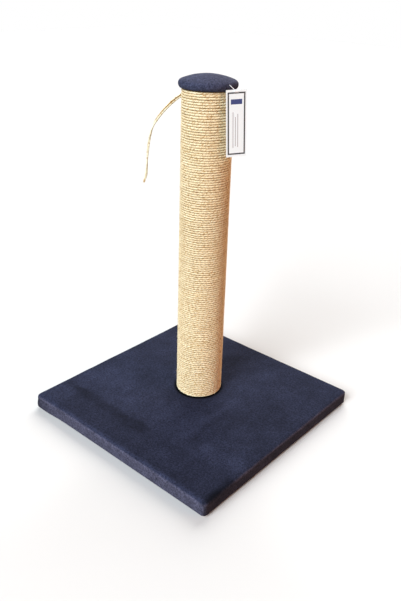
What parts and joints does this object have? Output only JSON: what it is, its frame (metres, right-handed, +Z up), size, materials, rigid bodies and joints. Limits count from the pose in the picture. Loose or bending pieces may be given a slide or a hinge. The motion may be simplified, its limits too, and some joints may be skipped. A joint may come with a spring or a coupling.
{
  "type": "cat scratcher",
  "caption": "Free-standing cat scratching post wound in sisal twine, with a crowned plush cap, a square plush-covered base, a loose twine end and a swinging hang tag.",
  "frame": {"origin": "on the floor, at the centre of the square base", "axes": "+Z up along the post, X and Y along the sides of the base"},
  "size_m": [0.35, 0.35, 0.5096],
  "materials": {
    "plush": "short napped pile",
    "chipboard": "raw",
    "plywood": "raw",
    "tube_paper": "matt",
    "sisal": "coarse fibre",
    "steel_wire": "drawn",
    "zinc_steel": "zinc plated",
    "foam": "open cell",
    "pad_rubber": "matt",
    "pin_plastic": "smooth",
    "tag_paper": "coated card"
  },
  "bodies": {
    "scratcher": {"base_board": "chipboard", "base_cover": "plush", "base_staples": "steel_wire", "pad_left": "pad_rubber", "pad_front": "pad_rubber", "pad_right": "pad_rubber", "pad_back": "pad_rubber", "base_washer": "zinc_steel", "base_bolt": "zinc_steel", "tube_bottom_plug": "chipboard", "bottom_t_nut": "zinc_steel", "post_tube": "tube_paper", "plug_nails": "steel_wire", "sisal_sleeve": "sisal", "sisal_turns": "sisal", "sisal_tail": "sisal", "sisal_staples": "steel_wire", "tube_top_plug": "chipboard", "top_t_nut": "zinc_steel", "cap_disc": "plywood", "cap_bolt": "zinc_steel", "cap_foam": "foam", "cap_cover": "plush", "cap_staples": "steel_wire", "tag_pin_anchor": "pin_plastic"},
    "tag_pin": {"tag_pin": "pin_plastic"},
    "tag": {"tag_card": "tag_paper"}
  },
  "joints": [
    {"name": "tag_lift", "type": "hinge", "parent": "scratcher", "child": "tag_pin", "pos_m": [0.03018, 0.01645, 0.50078], "axis": [-0.5635, -0.8261, 0], "range_deg": [0, 90]},
    {"name": "tag_swing", "type": "hinge", "parent": "tag_pin", "child": "tag", "pos_m": [0.03964, 0.01905, 0.4939], "axis": [0.8261, -0.5635, 0], "range_deg": [-90, 90]}
  ]
}
